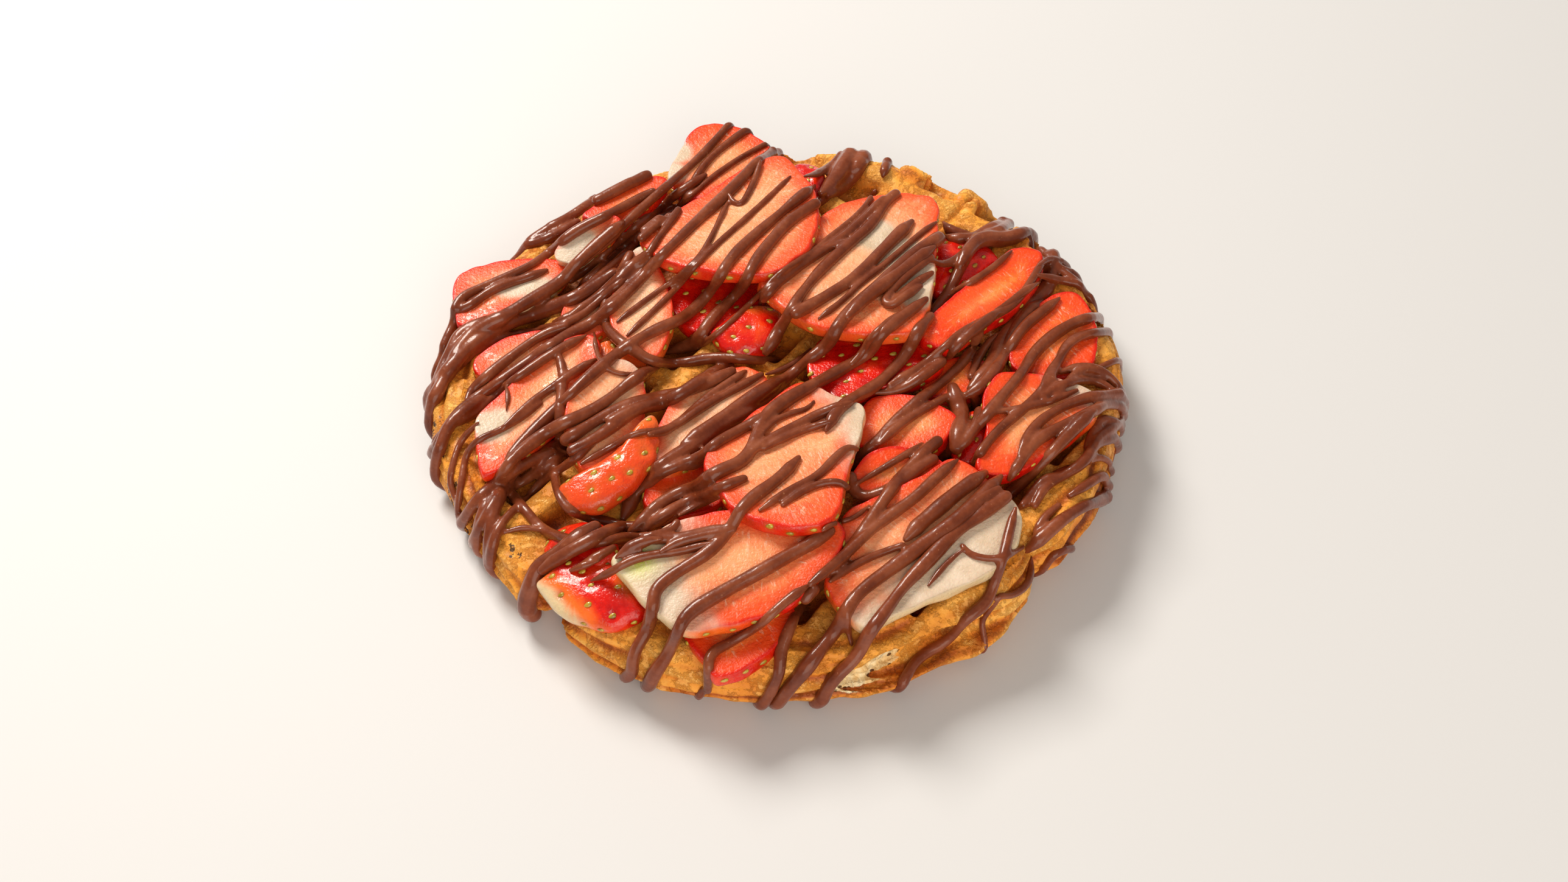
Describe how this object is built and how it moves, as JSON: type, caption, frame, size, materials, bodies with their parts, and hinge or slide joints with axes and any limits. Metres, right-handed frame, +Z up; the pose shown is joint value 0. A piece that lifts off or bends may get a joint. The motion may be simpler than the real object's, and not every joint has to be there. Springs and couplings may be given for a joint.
{
  "type": "belgian waffle",
  "caption": "Round grid-pocketed waffle with a puffed rim, topped with overlapping strawberry slices and strands of chocolate sauce.",
  "frame": {"origin": "centre of the waffle's flat underside, on the crossing of two bars of its grid", "axes": "+Z up through the waffle's thickness, +X towards the side that puffed up higher, -Y towards the side with the split, crumbly edge"},
  "size_m": [0.1939, 0.1945, 0.0368],
  "materials": {
    "crust": "golden baked crust, satin",
    "strawberry": "moist cut fruit, glossy",
    "chocolate": "thick milk chocolate sauce, glossy; the strands fused to the crust and the fruit"
  },
  "bodies": {
    "root": {"slice_back": "strawberry", "slice_back_large": "strawberry", "slice_back_left": "strawberry", "slice_back_left_rim": "strawberry", "slice_back_left_scrap": "strawberry", "slice_back_right_large": "strawberry", "slice_back_scrap": "strawberry", "slice_centre_back": "strawberry", "slice_centre_front": "strawberry", "slice_centre_right": "strawberry", "slice_centre_round": "strawberry", "slice_front_inner": "strawberry", "slice_front_large": "strawberry", "slice_front_left_round": "strawberry", "slice_front_left_under": "strawberry", "slice_front_right_large": "strawberry", "slice_front_rim": "strawberry", "slice_left_back": "strawberry", "slice_left_inner": "strawberry", "slice_left_large": "strawberry", "slice_left_long": "strawberry", "slice_left_mid": "strawberry", "slice_left_pale": "strawberry", "slice_left_round": "strawberry", "slice_left_scrap": "strawberry", "slice_middle_large": "strawberry", "slice_middle_long": "strawberry", "slice_middle_round": "strawberry", "slice_right_back": "strawberry", "slice_right_front": "strawberry", "slice_right_inner": "strawberry", "slice_right_rim": "strawberry", "slice_right_scrap": "strawberry", "slice_right_under": "strawberry", "waffle": "crust"}
  },
  "joints": []
}
